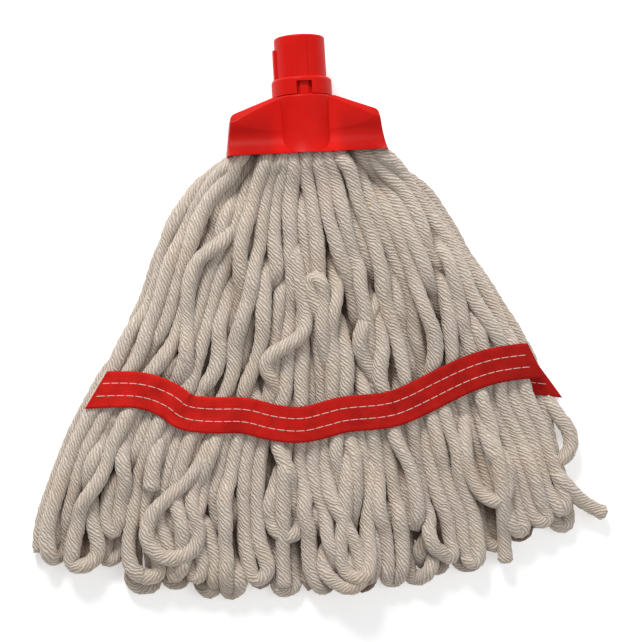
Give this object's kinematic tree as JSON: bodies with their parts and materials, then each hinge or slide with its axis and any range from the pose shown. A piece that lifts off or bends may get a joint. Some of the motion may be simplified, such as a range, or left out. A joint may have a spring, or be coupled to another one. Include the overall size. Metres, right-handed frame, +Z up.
{
  "type": "string mop head",
  "caption": "Looped-yarn string mop head with stitched tail bands and a clamp housing with a round handle socket.",
  "frame": {"origin": "centre of the handle socket's mouth", "axes": "+Y out of the socket towards the handle, +X to the right across the mop, +Z up out of the front face; the mop lies flat on its back face"},
  "size_m": [0.3192, 0.3259, 0.04],
  "materials": {
    "red_plastic": "moulded, soft satin",
    "cotton_yarn": "four-ply twisted cotton, unbleached",
    "red_tape": "woven tape",
    "white_thread": "lock-stitched thread",
    "steel": "zinc plated"
  },
  "bodies": {
    "back_skirt": {"back_yarn_hank_1": "cotton_yarn", "back_yarn_hank_2": "cotton_yarn", "back_yarn_hank_3": "cotton_yarn", "back_yarn_hank_4": "cotton_yarn", "back_yarn_hank_5": "cotton_yarn", "back_tail_band": "red_tape", "back_tail_band_lining": "red_tape", "back_band_stitching": "white_thread"},
    "head": {"socket_tube": "red_plastic", "front_shell": "red_plastic", "rear_shell": "red_plastic", "shell_screws": "steel", "clamp_bar": "red_plastic", "head_band": "red_tape", "head_band_stitching": "white_thread", "yarn_fold": "cotton_yarn"},
    "front_skirt": {"front_yarn_hank_1": "cotton_yarn", "front_yarn_hank_2": "cotton_yarn", "front_yarn_hank_3": "cotton_yarn", "front_yarn_hank_4": "cotton_yarn", "front_yarn_hank_5": "cotton_yarn", "front_tail_band": "red_tape", "front_tail_band_lining": "red_tape", "front_band_stitching": "white_thread"}
  },
  "joints": [
    {"name": "head_tilt", "type": "hinge", "parent": "back_skirt", "child": "head", "pos_m": [0, -0.068, 0], "axis": [1, 0, 0], "range_deg": [0, 78]},
    {"name": "front_skirt_fold", "type": "hinge", "parent": "head", "child": "front_skirt", "pos_m": [0, -0.068, 0], "axis": [1, 0, 0], "range_deg": [-78, 0]}
  ],
  "couplings": [
    {"joint": "front_skirt_fold", "follows": "head_tilt", "ratio": -1}
  ]
}
